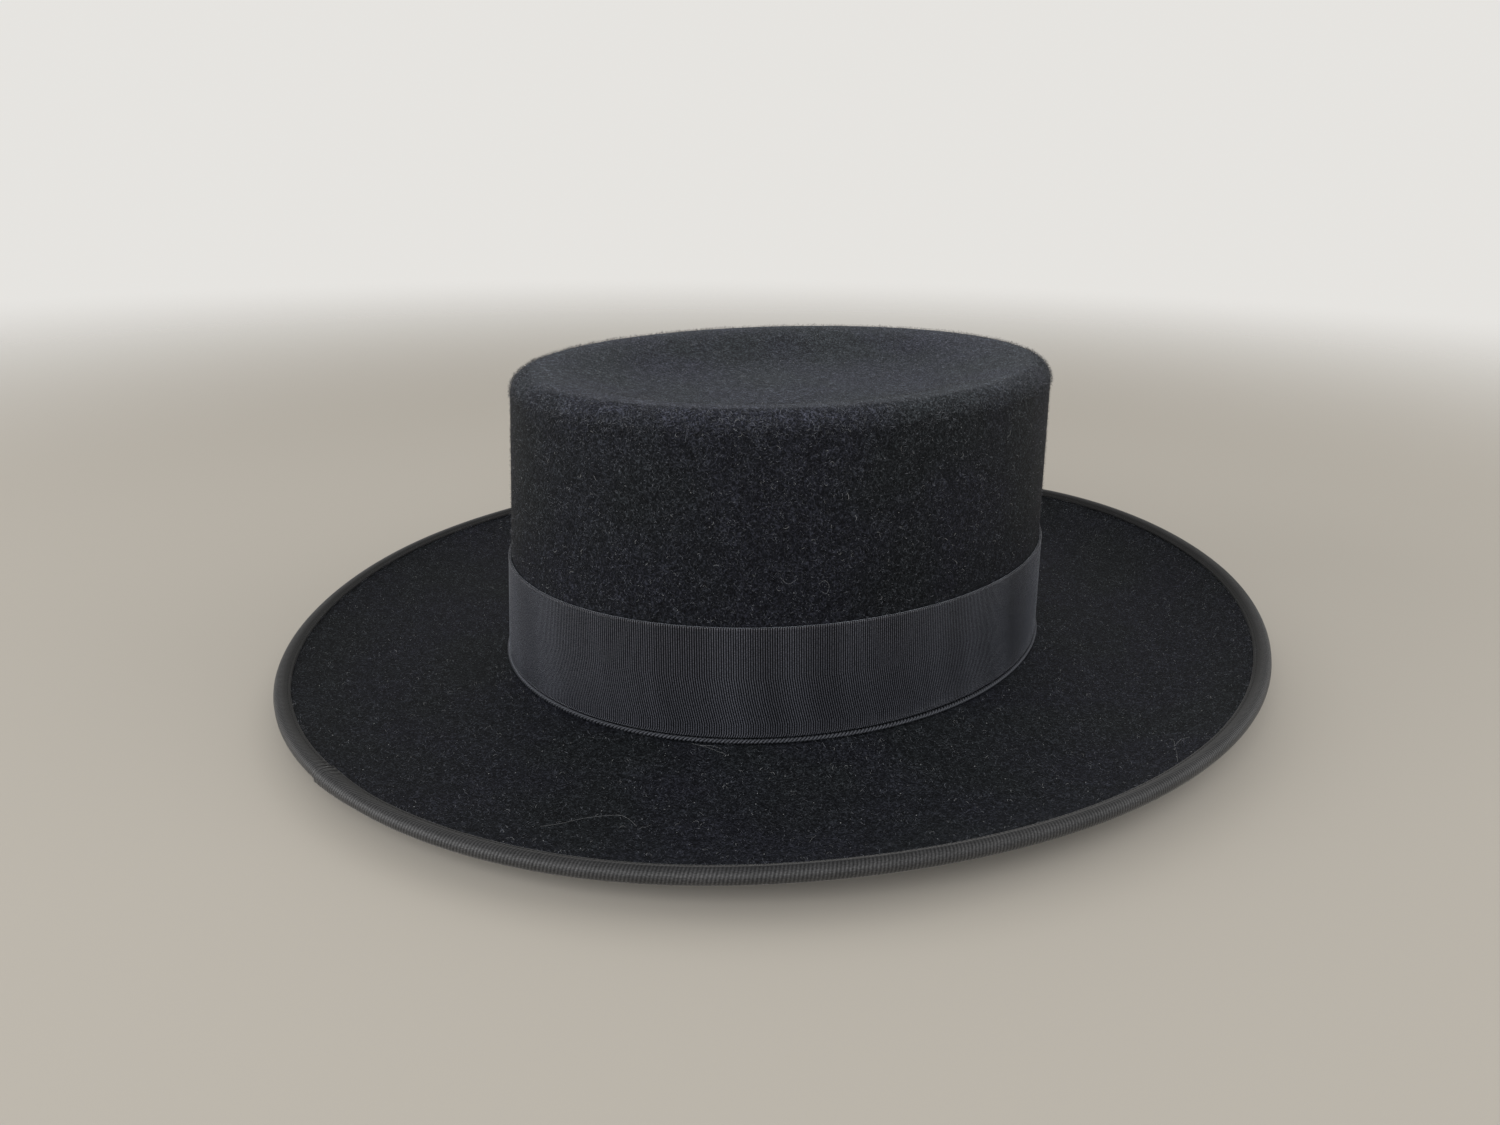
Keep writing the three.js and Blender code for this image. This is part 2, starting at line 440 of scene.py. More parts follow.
# %% Shading of the felt, and its painted highlight where it lies high and faces up
# Each noise is stretched from low to high, and becomes a shade from least to most
shading = 1
for noise, low, high, least, most in (
    (mat, 0.7, 1, 0.7, 2.6),
    (grain, 0.4, 0.6, 0.45, 1.9),
    (tufts, 0.35, 0.65, 0.8, 1.2),
):
    ends = {"From Min": low, "From Max": high, "To Min": least, "To Max": most}
    shade = add(tree, "ShaderNodeMapRange", inputs={"Value": noise.outputs["Fac"], **ends})
    factors = {0: shading, 1: shade.outputs["Result"]}
    shading = add(tree, "ShaderNodeMath", {"operation": "MULTIPLY"}, factors).outputs[0]

# How high the felt lies and how far it faces up gives one share, for the haze and for a painted highlight
height = add(tree, "ShaderNodeSeparateXYZ", inputs={0: place}).outputs["Z"]
upward = add(tree, "ShaderNodeSeparateXYZ", inputs={0: coordinates.outputs["Normal"]}).outputs["Z"]
haze_and_painted_light_share = 1
for measure, low, high, least in (
    (height, band_top, shoulder_height, haze_and_painted_light_on_brim),
    (upward, 0.1, 0.8, haze_and_painted_light_on_wall),
):
    ends = {"From Min": low, "From Max": high, "To Min": least}
    share = add(tree, "ShaderNodeMapRange", inputs={"Value": measure, **ends})
    factors = {0: haze_and_painted_light_share, 1: share.outputs["Result"]}
    haze_and_painted_light_share = add(tree, "ShaderNodeMath", {"operation": "MULTIPLY"}, factors).outputs[0]
# The base colour is painted paler by that share: a painted highlight on the tip and the rim
painted_top_light = add(tree, "ShaderNodeMath", {"operation": "MULTIPLY_ADD"}, {0: haze_and_painted_light_share, 1: painted_light_on_tip, 2: 1})
shading_and_painted_light = add(tree, "ShaderNodeMath", {"operation": "MULTIPLY"}, {0: shading, 1: painted_top_light.outputs[0]})
speckled_with_painted_light = add(
    tree,
    "ShaderNodeVectorMath",
    {"operation": "SCALE"},
    {"Vector": tone.outputs[2], "Scale": shading_and_painted_light.outputs[0]},
)

# %% Haze on the nap, and the shader
facing = add(tree, "ShaderNodeLayerWeight", inputs={"Blend": 0.5}).outputs["Facing"]
haze_ramp = add(tree, "ShaderNodeValToRGB", inputs={"Fac": facing})
haze_ramp.color_ramp.interpolation = "EASE"
stops = haze_ramp.color_ramp.elements
while len(stops) < len(haze_by_angle):
    stops.new(0.5)
for stop, (angle, grey) in zip(stops, haze_by_angle):
    stop.position = angle
    stop.color = (grey, grey, grey, 1)
haze = haze_ramp.outputs["Color"]
softer = add(tree, "ShaderNodeMath", {"operation": "POWER"}, {0: shading, 1: haze_contrast}).outputs[0]
for part in (softer, haze_and_painted_light_share):
    haze = add(tree, "ShaderNodeMath", {"operation": "MULTIPLY"}, {0: haze, 1: part}).outputs[0]
relief = add(
    tree,
    "ShaderNodeBump",
    inputs={"Height": grain.outputs["Fac"], "Strength": grain_relief, "Distance": grain_height},
)
shader = add(
    tree,
    "ShaderNodeBsdfPrincipled",
    inputs={
        "Base Color": speckled_with_painted_light.outputs["Vector"],
        "Roughness": 0.68,
        "Specular IOR Level": 0.14,
        "Specular Tint": colour("#d2d7e2"),
        "Sheen Weight": haze,
        "Sheen Roughness": 0.3,
        "Sheen Tint": colour("#c2cbdb"),
        "Normal": relief.outputs["Normal"],
    },
)
finish_material(tree, shader)

# %% [markdown]
# ## The felt body
#
# Crown and brim are one piece of felt, about 2 mm thick, and the hat is hollow. So the body is one
# skin that starts in the middle of the tip, runs over the rim, down the wall, out over the brim, round
# its edge, and back underneath into the hollow. Many narrow rows keep the rim and the curl smooth.

# %% Rings of the felt
felt_stations = 240
felt_angles = np.arange(felt_stations) * 360 / felt_stations


def tip_rings(below, count):
    """Rings of the dished tip, from near its deepest point out to just inside the crest."""
    return [on_dish(felt_angles, way, below) for way in np.linspace(0.97, 0.04, count)]


def rim_rings(depth, count):
    """Rings over the rounded rim, from the crest to the wall."""
    return [on_rim(felt_angles, turn, depth) for turn in np.linspace(90, 0, count)]


def wall_rings(out, low, high, count):
    """Rings down the wall."""
    return [on_wall(felt_angles, height, out) for height in np.linspace(high, low, count)]


def brim_rings(off, start, count):
    """Rings out over the brim, up to where its edge rounds over."""
    return [
        on_brim(felt_angles, start + (edge_reach(felt_angles) - start) * share, off)
        for share in np.linspace(0, 1, count)
    ]


fold_radius = break_radius + min(crown_felt, brim_felt)
outer_break = [
    on_wall(
        felt_angles,
        brim_felt + break_radius * (1 - math.sin(turn)),
        break_radius * (1 - math.cos(turn)),
    )
    for turn in np.linspace(0, math.pi / 2, 6)
]
inner_break = [
    on_wall(
        felt_angles,
        fold_radius * (1 - math.cos(turn)),
        fold_radius * (1 - math.sin(turn)) - crown_felt,
    )
    for turn in np.linspace(0, math.pi / 2, 7)
]
edge_rings = [on_edge(felt_angles, turn, brim_felt / 2) for turn in np.linspace(90, -90, 7)]
outer_side = (
    tip_rings(0, 26)
    + rim_rings(0, 12)
    + wall_rings(0, brim_felt + break_radius, shoulder_height, 8)[1:-1]
    + outer_break
    + brim_rings(brim_felt / 2, rest_width, 24)[:-1]
)
inner_side = (
    brim_rings(-brim_felt / 2, rest_width, 16)[::-1][1:]
    + inner_break
    + wall_rings(-crown_felt, fold_radius, shoulder_height, 6)[::-1][1:-1]
    + rim_rings(crown_felt, 7)[::-1]
    + tip_rings(crown_felt, 12)[::-1]
)
felt_body = skin(
    "felt_hood",
    outer_side + edge_rings + inner_side,
    tips=[dish_centre, dish_centre - np.array([0, 0, crown_felt])],
)
felt_body.data.materials.append(felt)
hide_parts("felt_body")
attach(felt_body, "root")
print("felt:", triangles(felt_body), "triangles")

# %% [markdown]
# ## The ribbon round the crown
#
# The ribbon is a grosgrain. Thick weft threads lie across it and fine warp threads hold them down, so
# its face is a row of upright ribs, 0.7 mm apart. They are real relief here, because they give the
# ribbon its silky streaks: each rib mirrors the light on its own flank. In the lower half they slip
# sideways by 3 mm, where the ribbon was pulled along as it was sewn on. The ribs are spaced evenly
# along the ribbon, so the angles come from the length of the oval and not from equal steps.

# %% Even spacing along an oval
def even_angles(path, count):
    """Angles whose points on a path lie evenly along it, and the path's length."""
    fine = np.linspace(0, 360, 3601)
    points = path(fine)
    run = np.concatenate([[0], np.cumsum(np.linalg.norm(np.diff(points, axis=0), axis=1))])
    return np.interp(np.arange(count) / count * run[-1], run, fine), run[-1]


def round_ridge(place):
    """Rounded ridges with narrow grooves between them, one for each whole number of place."""
    return np.sqrt(np.abs(np.sin(np.pi * place)))


# %% The ribbon's ribs
rib_pitch = 0.7 * MM
rib_depth = 0.3 * MM
steps_in_rib = 5
band_face = clearance + band_thickness - rib_depth


def band_path(angle):
    """The line along the middle of the ribbon."""
    return on_wall(angle, band_foot + band_height / 2, band_face)


band_length = even_angles(band_path, 1)[1]
rib_count = round(band_length / rib_pitch)
band_angles = even_angles(band_path, rib_count * steps_in_rib)[0]
ribs = round_ridge(np.arange(rib_count * steps_in_rib) / steps_in_rib)

# Rows across the ribbon: height above its foot, how far out, how strong the ribs are, how far the
# edge is scalloped, and how far the ribs have slipped along the ribbon
edge_round = 0.22 * MM
scallop_depth = 0.8 * edge_round
band_rows = [
    (band_height - 0.5 * edge_round, clearance, 0, 0, 0),
    (band_height, clearance + 0.4 * band_thickness, 0, 1, 0),
    (band_height - 0.4 * edge_round, band_face, 0.9, 1, 0),
    (band_height - 2 * edge_round, band_face, 1.2, 0, 0),
    (band_height - 5 * edge_round, band_face, 0.9, 0, 0),
    (band_height * 0.55, band_face, 1, 0, 0.2 * MM),
    (band_height * 0.35, band_face, 1, 0, 1.3 * MM),
    (band_height * 0.12, band_face, 1, 0, 3.1 * MM),
    (5 * edge_round, band_face, 0.9, 0, 3.1 * MM),
    (2 * edge_round, band_face, 1.2, 0, 2.8 * MM),
    (0.4 * edge_round, band_face, 0.9, -1, 2.6 * MM),
    (0, clearance + 0.4 * band_thickness, 0, -1, 2.6 * MM),
    (0.5 * edge_round, clearance, 0, 0, 2.6 * MM),
]
band_radius = (half_length + half_width) / 2
band_rings = [
    on_wall(
        band_angles + math.degrees(slip / band_radius),
        band_foot + height - scallop * scallop_depth * (1 - ribs),
        out + strength * rib_depth * ribs,
    )
    for height, out, strength, scallop, slip in band_rows
]
band_along = np.linspace(0, band_length, len(band_angles) + 1)
band_across = np.array([row[0] for row in band_rows] + [band_rows[0][0]])
hat_band = skin("grosgrain_band", band_rings, closed=True, uv=(band_along, band_across))

# %% [markdown]
# ### Black grosgrain
#
# The ribbon is woven from rayon. It is smooth, so it shines a little, and always across the ribs. The
# fine warp threads cross each rib every 0.2 mm, too fine for this view, so they are drawn at 0.3 mm as
# a slight roughening. Light and dark upright streaks are painted into its colour, a painted reflection
# of its gloss. Between two ribs the dark warp shows and shade falls, and the UV map says where: the
# grooves are painted darker, for the warp and as painted shade, and the crests lighter, a painted
# highlight.

# %% Ribbon material
def grosgrain(
    name, face, reflection_streak_face, pitch, groove, selvedge, thread, wear, streak, roughness, sheen, tint
):
    """A ribbed ribbon's material: a tone, a tone for its painted reflection streaks, how light its grooves
    are painted, and the spacings in it.
    """
    made, tree = material(name)
    cloth = add(tree, "ShaderNodeUVMap", {"uv_map": "cloth"}).outputs["UV"]

    # Painted reflection streaks run far across the ribbon. The warp's bumps are nearly a rib long and one
    # thread wide.
    streak_scale = (MM / streak, 0.006, 1)
    thread_scale = (1.3 * MM / pitch, MM / thread, 1)
    noises = []
    for scale, detail in ((streak_scale, 4), (thread_scale, 2)):
        spread = add(tree, "ShaderNodeMapping", inputs={"Vector": cloth, "Scale": scale})
        inputs = {"Vector": spread.outputs[0], "Scale": 1, "Detail": detail}
        noises.append(add(tree, "ShaderNodeTexNoise", inputs=inputs).outputs["Fac"])
    streaks, threads = noises

    # Each value between low and high becomes a share between least and most
    along = add(tree, "ShaderNodeSeparateXYZ", inputs={0: cloth}).outputs["X"]
    across = add(tree, "ShaderNodeSeparateXYZ", inputs={0: cloth}).outputs["Y"]
    rib = add(tree, "ShaderNodeMath", {"operation": "PINGPONG"}, {0: along, 1: pitch / MM / 2}).outputs[0]
    # The streak share mixes in a painted reflection. The rib share paints the grooves darker, for the dark
    # warp and as painted shade, and the crests lighter, a painted highlight.
    shares = []
    for value, low, high, least, most in (
        (streaks, 0.25, 0.75, 0, 1),
        (rib, 0.12 * pitch / MM, 0.42 * pitch / MM, groove, 1.5),
        (threads, 0.35, 0.65, 1 - wear, 1 + wear),
        (across, 0.6 * selvedge / MM, 1.1 * selvedge / MM, 0, 1),
    ):
        ends = {"From Min": low, "From Max": high, "To Min": least, "To Max": most}
        shares.append(add(tree, "ShaderNodeMapRange", inputs={"Value": value, **ends}).outputs["Result"])
    reflection_streak_share, crest, worn, ribbed = shares

    tone = add(tree, "ShaderNodeMix", {"data_type": "RGBA"}, {"Factor": reflection_streak_share, 6: face, 7: reflection_streak_face})
    shape = add(tree, "ShaderNodeMix", {"data_type": "FLOAT"}, {0: ribbed, 2: 0.5, 3: crest}).outputs[0]
    lit = add(tree, "ShaderNodeMath", {"operation": "MULTIPLY"}, {0: shape, 1: worn}).outputs[0]
    shown = add(
        tree,
        "ShaderNodeVectorMath",
        {"operation": "SCALE"},
        {"Vector": tone.outputs[2], "Scale": lit},
    )
    gloss = add(tree, "ShaderNodeMath", {"operation": "MULTIPLY"}, {0: lit, 1: 0.5})
    relief = add(
        tree,
        "ShaderNodeBump",
        inputs={"Height": threads, "Strength": 0.6, "Distance": 0.06 * MM},
    )
    shader = add(
        tree,
        "ShaderNodeBsdfPrincipled",
        inputs={
            "Base Color": shown.outputs["Vector"],
            "Roughness": roughness,
            "Specular IOR Level": gloss.outputs[0],
            "Sheen Weight": sheen,
            "Sheen Roughness": 0.3,
            "Sheen Tint": tint,
            "Normal": relief.outputs["Normal"],
        },
    )
    finish_material(tree, shader)
    return made


band_cloth = grosgrain(
    "black_band_grosgrain",
    face=colour("#2f3036"),
    reflection_streak_face=colour("#474951"),
    pitch=band_length / rib_count,
    groove=0.03,
    selvedge=0.01 * MM,
    thread=0.3 * MM,
    wear=0.45,
    streak=16 * MM,
    roughness=0.4,
    sheen=0.8,
    tint=colour("#cdd3dc"),
)
hat_band.data.materials.append(band_cloth)
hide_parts("hat_band")
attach(hat_band, "root")
print("ribbon:", rib_count, "ribs,", triangles(hat_band), "triangles")
print("length of the ribbon in mm:", round(band_length / MM, 1))

# %% [markdown]
# ## The twisted cord
#
# A thin cord hides the corner where the ribbon meets the brim. It is two strands twisted together.
# This is what Geometry Nodes do well: a path goes in, and the tree winds each strand round it and
# gives it a round section. The number of turns is a whole one, so that the ring closes.

# %% The cord's path
def cord_path(angle):
    """The line along the middle of the cord."""
    return on_wall(angle, brim_felt + cord_seat, cord_seat)


cord_angles, cord_length = even_angles(cord_path, 720)


def curves(name, lines, closed):
    """A curve object: each line is its points and its thickness, as a share of the section's size."""
    curve = bpy.data.curves.new(name, "CURVE")
    curve.dimensions = "3D"
    for points, thickness in lines:
        spline = curve.splines.new("POLY")
        spline.points.add(len(points) - 1)
        spline.points.foreach_set("co", np.concatenate([points, np.ones((len(points), 1))], 1).ravel())
        spline.points.foreach_set("radius", np.full(len(points), thickness))
        spline.use_cyclic_u = closed
    made = bpy.data.objects.new(name, curve)
    bpy.context.scene.collection.objects.link(made)
    return made


def small_mesh(name, points, faces):
    """A small smooth mesh object that only serves as a shape to copy."""
    mesh = bpy.data.meshes.new(name)
    mesh.from_pydata(points, [], faces)
    mesh.polygons.foreach_set("use_smooth", np.ones(len(faces), bool))
    return bpy.data.objects.new(name, mesh)


def new_tree(name, inputs):
    """An empty Geometry Nodes tree with named inputs, and its group input and output."""
    tree = bpy.data.node_groups.new(name, "GeometryNodeTree")
    tree.interface.new_socket("Geometry", in_out="INPUT", socket_type="NodeSocketGeometry")
    for label, kind in inputs:
        tree.interface.new_socket(label, in_out="INPUT", socket_type="NodeSocket" + kind)
    tree.interface.new_socket("Geometry", in_out="OUTPUT", socket_type="NodeSocketGeometry")
    given = tree.nodes.new("NodeGroupInput")
    return tree, given.outputs


def finish_tree(tree, geometry, cloth):
    """Ends a tree with real geometry and its material."""
    whole = add(tree, "GeometryNodeRealizeInstances", inputs={"Geometry": geometry})
    coated = add(tree, "GeometryNodeSetMaterial", inputs={"Geometry": whole.outputs[0], "Material": cloth})
    add(tree, "NodeGroupOutput", inputs={"Geometry": coated.outputs[0]})


def grow(piece, tree, values, name):
    """Runs a tree on an object and gives its result as a plain mesh object with no modifier."""
    modifier = piece.modifiers.new("grow", "NODES")
    modifier.node_group = tree
    sockets = {s.name: s.identifier for s in tree.interface.items_tree if s.in_out == "INPUT"}
    for label, value in values.items():
        modifier[sockets[label]] = value
    depsgraph = bpy.context.evaluated_depsgraph_get()
    depsgraph.update()
    mesh = bpy.data.meshes.new_from_object(piece.evaluated_get(depsgraph), depsgraph=depsgraph)
    mesh.name = name
    bpy.data.objects.remove(piece)
    made = bpy.data.objects.new(name, mesh)
    bpy.context.scene.collection.objects.link(made)
    return made


# %% [markdown]
# The tree reads how far along the path each point lies, turns that into an angle, and moves the point
# off the path by that angle. The second strand is half a turn behind the first one.

# %% The tree that twists strands
twist, given = new_tree(
    "twist_strands",
    [
        ("Lay", "Float"),
        ("Steps", "Int"),
        ("Off centre", "Float"),
        ("Strand radius", "Float"),
        ("Sides", "Int"),
        ("Material", "Material"),
    ],
)
path = add(
    twist, "GeometryNodeResampleCurve", inputs={"Curve": given["Geometry"], "Count": given["Steps"]}
)
run = add(twist, "GeometryNodeSplineParameter").outputs["Length"]
turns = add(twist, "ShaderNodeMath", {"operation": "DIVIDE"}, {0: run, 1: given["Lay"]}).outputs[0]
normal = add(twist, "GeometryNodeInputNormal").outputs[0]
tangent = add(twist, "GeometryNodeInputTangent").outputs[0]
cross = add(twist, "ShaderNodeVectorMath", {"operation": "CROSS_PRODUCT"}, {0: tangent, 1: normal})
section = add(
    twist,
    "GeometryNodeCurvePrimitiveCircle",
    inputs={"Resolution": given["Sides"], "Radius": given["Strand radius"]},
)
strands = add(twist, "GeometryNodeJoinGeometry")
for start in (0.0, 0.5):
    turned = add(twist, "ShaderNodeMath", {"operation": "ADD"}, {0: turns, 1: start}).outputs[0]
    angle = add(twist, "ShaderNodeMath", {"operation": "MULTIPLY"}, {0: turned, 1: 2 * math.pi}).outputs[0]
    parts = {}
    for slot, (axis, wave) in enumerate(((normal, "COSINE"), (cross.outputs[0], "SINE"))):
        share = add(twist, "ShaderNodeMath", {"operation": wave}, {0: angle}).outputs[0]
        part = add(twist, "ShaderNodeVectorMath", {"operation": "SCALE"}, {0: axis, "Scale": share})
        parts[slot] = part.outputs[0]
    both = add(twist, "ShaderNodeVectorMath", {"operation": "ADD"}, parts).outputs[0]
    shift = {0: both, "Scale": given["Off centre"]}
    away = add(twist, "ShaderNodeVectorMath", {"operation": "SCALE"}, shift)
    wound = add(
        twist, "GeometryNodeSetPosition", inputs={"Geometry": path.outputs[0], "Offset": away.outputs[0]}
    )
    strand = add(
        twist,
        "GeometryNodeCurveToMesh",
        inputs={"Curve": wound.outputs[0], "Profile Curve": section.outputs[0]},
    )
    twist.links.new(strand.outputs[0], strands.inputs[0])
smooth = add(twist, "GeometryNodeSetShadeSmooth", inputs={"Geometry": strands.outputs[0]})
finish_tree(twist, smooth.outputs[0], given["Material"])

# %% Cord material and the finished cord
cord_cloth, tree = material("black_twisted_rayon")
place = add(tree, "ShaderNodeTexCoord").outputs["Object"]
fuzz = add(tree, "ShaderNodeTexNoise", inputs={"Vector": place, "Scale": 1 / (0.4 * MM), "Detail": 2})
relief = add(
    tree,
    "ShaderNodeBump",
    inputs={"Height": fuzz.outputs["Fac"], "Strength": 0.5, "Distance": 0.1 * MM},
)
tone = add(
    tree,
    "ShaderNodeMix",
    {"data_type": "RGBA"},
    {"Factor": fuzz.outputs["Fac"], 6: colour("#101114"), 7: colour("#5d5f66")},
)
shader = add(
    tree,
    "ShaderNodeBsdfPrincipled",
    inputs={
        "Base Color": tone.outputs[2],
        "Roughness": 0.35,
        "Specular IOR Level": 0.7,
        "Specular Tint": colour("#ccd2de"),
        "Normal": relief.outputs["Normal"],
    },
)
finish_material(tree, shader)

# A strand takes this share of the cord's radius, and a negative lay twists it the other way
strand_share = 0.46
cord_lay = 2.46 * MM
steps_in_lay = 10
cord_turns = round(cord_length / cord_lay)
band_cord = grow(
    curves("cord_path", [(cord_path(cord_angles), 1)], closed=True),
    twist,
    {
        "Lay": -cord_length / cord_turns,
        "Steps": cord_turns * steps_in_lay,
        "Off centre": cord_radius * (1 - strand_share),
        "Strand radius": cord_radius * strand_share,
        "Sides": 7,
        "Material": cord_cloth,
    },
    "twisted_cord",
)
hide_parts("band_cord")
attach(band_cord, "root")
print("cord:", cord_turns, "turns,", triangles(band_cord), "triangles")

# %% [markdown]
# ## The binding on the brim's edge
#
# A second grosgrain ribbon is folded over the edge and stitched through. Its ribs run from the upper
# side round the fold to the underside. Near its inner edge it is sewn down in a shallow channel, and
# between the channel and the edge lies the ribbon's flat selvedge.

# %% The binding's ribs
binding_pitch = 0.93 * MM
binding_relief = 0.14 * MM
binding_lean = 2 * MM
steps_in_binding_rib = 4
pucker_height = 0.13 * MM
pucker_spacing = 2.4 * MM
pucker_reach = 5 * MM


def binding_path(angle):
    """The line round the fold of the binding."""
    return on_edge(angle, 0, edge_cover)


binding_length = even_angles(binding_path, 1)[1]
binding_rib_count = round(binding_length / binding_pitch)
binding_columns = binding_rib_count * steps_in_binding_rib
binding_angles = even_angles(binding_path, binding_columns)[0]
binding_ribs = round_ridge(np.arange(binding_columns) / steps_in_binding_rib)


def past_lap(angle):
    """How far along the edge an angle lies past the lap."""
    return np.radians(angle - lap_angle) * (half_length + brim_width)


def lap_step(angle):
    """How far the binding's outer face stands up just past the lap, sinking back further on."""
    past = past_lap(angle)
    return np.where((past < 0) | (past > lap_length), 0, lap_thickness * (1 - past / lap_length))


def puckers(angle):
    """Small creases where the ribbon was pulled tight on both sides of the lap."""
    past = past_lap(angle)
    fading = np.exp(-((past / pucker_reach) ** 2))
    return pucker_height * np.cos(2 * math.pi * past / pucker_spacing) * fading


def leaned(share):
    """The binding's angles for a row: its ribs lean a little, so rows are shifted along the edge."""
    shift = binding_lean * (0.5 - share) / (half_length + brim_width)
    return binding_angles + math.degrees(shift)


def binding_reach(angle):
    """The reach at which the binding starts on the upper side."""
    return edge_reach(angle) + edge_cover - binding_face


inner_off = brim_felt / 2 + clearance
outer_off = inner_off + binding_thickness - binding_relief
flat_width = binding_face - edge_cover

# Rows on the flat part, from the inner edge outwards: how far out, the share of the thickness, and
# how strong the ribs are
binding_flat_rows = [
    (0.0 * MM, 0.3, 0.0),
    (0.3 * MM, 0.8, 0.0),
    (0.65 * MM, 0.9, 0.05),
    (1.05 * MM, 0.7, 0.1),
    (1.7 * MM, 1.0, 0.2),
]


def flat_ring(distance, share, strength, side):
    """A ring on the upper (side 1) or lower (side -1) flat part of the binding."""
    angle = leaned(0.5 - 0.5 * side * (1 - 0.3 * distance / flat_width))
    off = inner_off + (outer_off - inner_off) * share + strength * binding_relief * binding_ribs
    off = off + lap_step(angle) + share * puckers(angle)
    return on_brim(angle, binding_reach(angle) + distance, side * off)


def fold_ring(turn):
    """A ring round the fold: its ribs stand highest just past the upper side and flatten below."""
    angle = leaned(0.5 - 0.35 * turn / 90)
    strength = min(1, (115 - turn) / 60) * (0.7 + 0.3 * math.sin(math.radians(turn)))
    ribs_here = strength * binding_relief * binding_ribs
    return on_edge(angle, turn, outer_off + ribs_here + lap_step(angle) + 0.5 * puckers(angle))


fold_turns = np.linspace(90, -90, 7)
rings = [flat_ring(*row, side=1) for row in binding_flat_rows]
rings += [fold_ring(turn) for turn in fold_turns]
rings += [flat_ring(*row, side=-1) for row in binding_flat_rows[:0:-3]]
rings.append(on_brim(binding_angles, binding_reach(binding_angles), -inner_off))
rings += [on_edge(binding_angles, turn, inner_off) for turn in (-90, 0, 90)]
rings.append(on_brim(binding_angles, binding_reach(binding_angles), inner_off))
binding_along = np.linspace(0, binding_length, binding_columns + 1)
across_steps = np.linalg.norm(np.diff(np.array(rings)[:, 0], axis=0), axis=1)
binding_across = np.concatenate([[0], np.cumsum(across_steps), [across_steps.sum()]])
brim_binding = skin("edge_binding", rings, closed=True, uv=(binding_along, binding_across))
binding_cloth = grosgrain(
    "black_binding_grosgrain",
    face=colour("#1e1f21"),
    reflection_streak_face=colour("#2f2f31"),
    pitch=binding_length / binding_rib_count,
    groove=0.8,
    selvedge=3.6 * MM,
    thread=0.3 * MM,
    wear=0.25,
    streak=14 * MM,
    roughness=0.5,
    sheen=0.42,
    tint=colour("#cbcac8"),
)
brim_binding.data.materials.append(binding_cloth)
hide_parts("brim_binding")
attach(brim_binding, "root")

# %% [markdown]
# The binding is sewn down near its inner edge. Short black stitches lie in the channel there, 1.3 mm
# apart. One tree lays any small shape along any path.

# %% Stitches
def octahedron(name, x, y, z):
    """A small double pyramid with its half sizes along the three axes."""
    points = [(x, 0, 0), (0, y, 0), (-x, 0, 0), (0, -y, 0), (0, 0, z), (0, 0, -z)]
    faces = [(a, (a + 1) % 4, 4) for a in range(4)] + [((a + 1) % 4, a, 5) for a in range(4)]
    return small_mesh(name, points, faces)


sewing, given = new_tree(
    "shapes_along_path",
    [("Shape", "Object"), ("Count", "Int"), ("Material", "Material")],
)
spots = add(
    sewing,
    "GeometryNodeCurveToPoints",
    {"mode": "COUNT"},
    {"Curve": given["Geometry"], "Count": given["Count"]},
)
shape = add(sewing, "GeometryNodeObjectInfo", inputs={"Object": given["Shape"]})
sewn = add(
    sewing,
    "GeometryNodeInstanceOnPoints",
    inputs={
        "Points": spots.outputs["Points"],
        "Instance": shape.outputs["Geometry"],
        "Rotation": spots.outputs["Rotation"],
    },
)
finish_tree(sewing, sewn.outputs[0], given["Material"])

thread, tree = material("black_sewing_thread")
shader = add(tree, "ShaderNodeBsdfPrincipled", inputs={"Base Color": colour("#0c0c0e"), "Roughness": 0.5})
finish_material(tree, shader)

stitch_pitch = 1.3 * MM
stitch_line = 1.05 * MM
stitch_off = inner_off + 0.75 * (outer_off - inner_off)
seam_angles = np.linspace(0, 360, 1081)[:-1]
seam = on_brim(seam_angles, binding_reach(seam_angles) + stitch_line, stitch_off)
stitches = grow(
    curves("seam_path", [(seam, 1)], closed=True),
    sewing,
    {
        "Shape": octahedron("stitch_shape", 0.17 * MM, 0.17 * MM, 0.5 * MM),
        "Count": round(binding_length / stitch_pitch),
        "Material": thread,
    },
    "binding_stitches",
)
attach(stitches, "root")
print("stitches:", triangles(stitches), "triangles")
print("binding:", binding_rib_count, "ribs,", triangles(brim_binding), "triangles")

# %% [markdown]
# ## The nap
#
# The felt's surface is covered with short fibres that lie in every direction. The material gives the
# fine grain, but single fibres that catch the light are real ones here, because they break the
# outline and the crest of the rim as they do on the hat. Geometry Nodes scatter points over a patch of
# the felt and put one of a few small fibre shapes on each, turned at random and scaled at random. A
# noise thins them out in some places and gathers them in others, because real nap clings in clumps.

# %% Fibre shapes
fibre_width = 0.07 * MM


def fibre(name, bend, lift):
    """One fibre, a millimetre long along X: two slender triangles that bend sideways and lift off."""
    half = fibre_width / 2
    points = [
        (0, 0, 0),
        (0.5 * MM, bend * MM - half, lift * MM),
        (0.5 * MM, bend * MM + half, lift * MM),
        (MM, 0, 1.4 * lift * MM),
    ]
    return small_mesh(name, points, [(0, 1, 2), (1, 3, 2)])


def shape_box(name, shapes):
    """A collection that holds shapes for a scattering tree to pick from."""
    made = bpy.data.collections.new(name)
    for shape in shapes:
        made.objects.link(shape)
    return made


fibre_bends = [(0, 0.08), (0.12, 0.12), (-0.2, 0.16), (0.3, 0.1), (-0.1, 0.26)]
fibres = shape_box("fibre_shapes", [fibre(f"fibre_{n}", *row) for n, row in enumerate(fibre_bends)])

# %% The tree that scatters fibres
clump_size = 4 * MM

